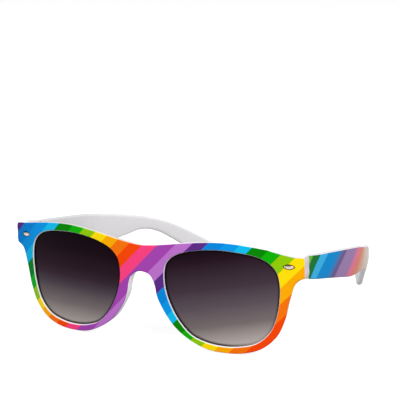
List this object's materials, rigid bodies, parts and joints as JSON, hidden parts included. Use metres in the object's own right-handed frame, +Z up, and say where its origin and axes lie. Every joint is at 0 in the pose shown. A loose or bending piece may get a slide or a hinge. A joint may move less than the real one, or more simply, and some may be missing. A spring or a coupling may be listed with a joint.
{
  "type": "sunglasses",
  "caption": "Folding full-rim sunglasses with a curved moulded front, gradient lenses, moulded nose pads, hinged bowed temples and diagonal rainbow stripes.",
  "frame": {"origin": "middle of the bounding box at the level that the rims and the tips stand on, with the temples open", "axes": "the front faces -Y, the temples run to +Y, +X is to the wearer's left, +Z up"},
  "size_m": [0.1458, 0.1466, 0.0491],
  "materials": {
    "front_plastic": "moulded white plastic, gloss, with diagonal coloured stripes printed on the face",
    "temple_plastic": "moulded white plastic, gloss, with diagonal coloured stripes printed on the outer side",
    "lens": "polished, tinted from nearly black at the top to warm grey at the bottom",
    "rivet": "polished",
    "hinge": "stamped and tumbled",
    "screw": "turned"
  },
  "bodies": {
    "front": {"front_frame": "front_plastic", "lens_left": "lens", "lens_right": "lens", "rivet_left": "rivet", "rivet_right": "rivet", "front_hinge_left": "hinge", "front_hinge_right": "hinge", "hinge_screw_left": "screw", "hinge_screw_right": "screw"},
    "left_arm": {"temple_left": "temple_plastic", "temple_hinge_left": "hinge"},
    "right_arm": {"temple_right": "temple_plastic", "temple_hinge_right": "hinge"}
  },
  "joints": [
    {"name": "left_fold", "type": "hinge", "parent": "front", "child": "left_arm", "pos_m": [0.0667, -0.05657, 0.03923], "axis": [0, -0.044, 0.999], "range_deg": [0, 78]},
    {"name": "right_fold", "type": "hinge", "parent": "front", "child": "right_arm", "pos_m": [-0.0667, -0.05657, 0.03923], "axis": [0, 0.044, -0.999], "range_deg": [0, 71]}
  ]
}
